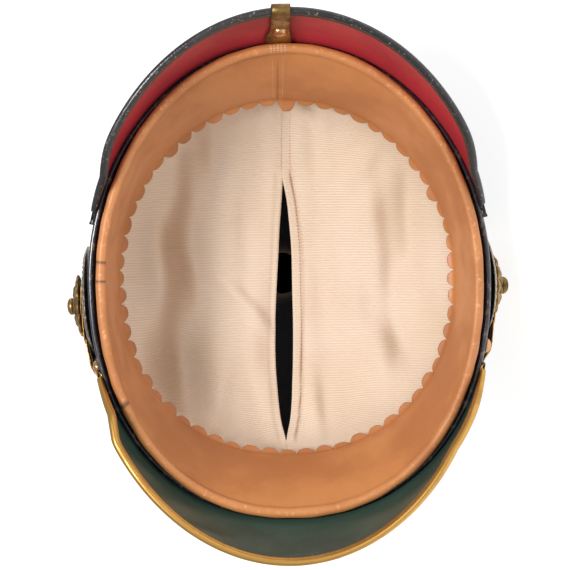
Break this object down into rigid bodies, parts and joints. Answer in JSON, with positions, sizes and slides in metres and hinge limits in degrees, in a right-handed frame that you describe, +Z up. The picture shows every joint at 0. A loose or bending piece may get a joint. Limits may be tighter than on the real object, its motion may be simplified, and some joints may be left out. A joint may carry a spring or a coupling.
{
  "type": "spiked helmet",
  "caption": "Spiked leather officer's helmet lying on its side, with squared peak, neck guard, scalloped sweatband and slit silk lining",
  "frame": {"origin": "bottom centre of the box of the helmet as it lies on its right side", "axes": "+Z up; +Y runs along the spike's side, away from the opening; +X is towards the helmet's rear"},
  "size_m": [0.247, 0.2658, 0.1985],
  "materials": {
    "lacquered_leather": "blue-black lacquered leather, glossy, worn at the rim",
    "green_leather": "dark green dyed leather, half gloss, softly creased",
    "red_leather": "crimson dyed leather, matt",
    "black_leather": "black lacquered binding, cracked and rubbed along its edge",
    "tan_leather": "tan sweatband leather, fine grain",
    "ribbed_silk": "cream ribbed silk",
    "brass": "gilt brass, toned",
    "old_silver": "silvered metal, tarnished"
  },
  "bodies": {
    "root": {"shell": "lacquered_leather", "front_peak": "green_leather", "neck_guard": "red_leather", "guard_binding": "black_leather", "sweatband": "tan_leather", "lining_left": "ribbed_silk", "lining_right": "ribbed_silk", "cockade_left": "old_silver", "cockade_right": "old_silver", "peak_trim": "brass", "rear_spine": "brass", "spine_stud": "brass", "spike_base": "brass", "base_stud_front": "brass", "base_stud_rear": "brass", "base_stud_left": "brass", "base_stud_right": "brass", "spike_collar": "brass", "spike": "brass", "rosette_left": "brass", "rosette_right": "brass", "trim_stud_left": "brass", "trim_stud_right": "brass", "chin_scales_left": "brass", "chin_scales_right": "brass"}
  },
  "joints": []
}
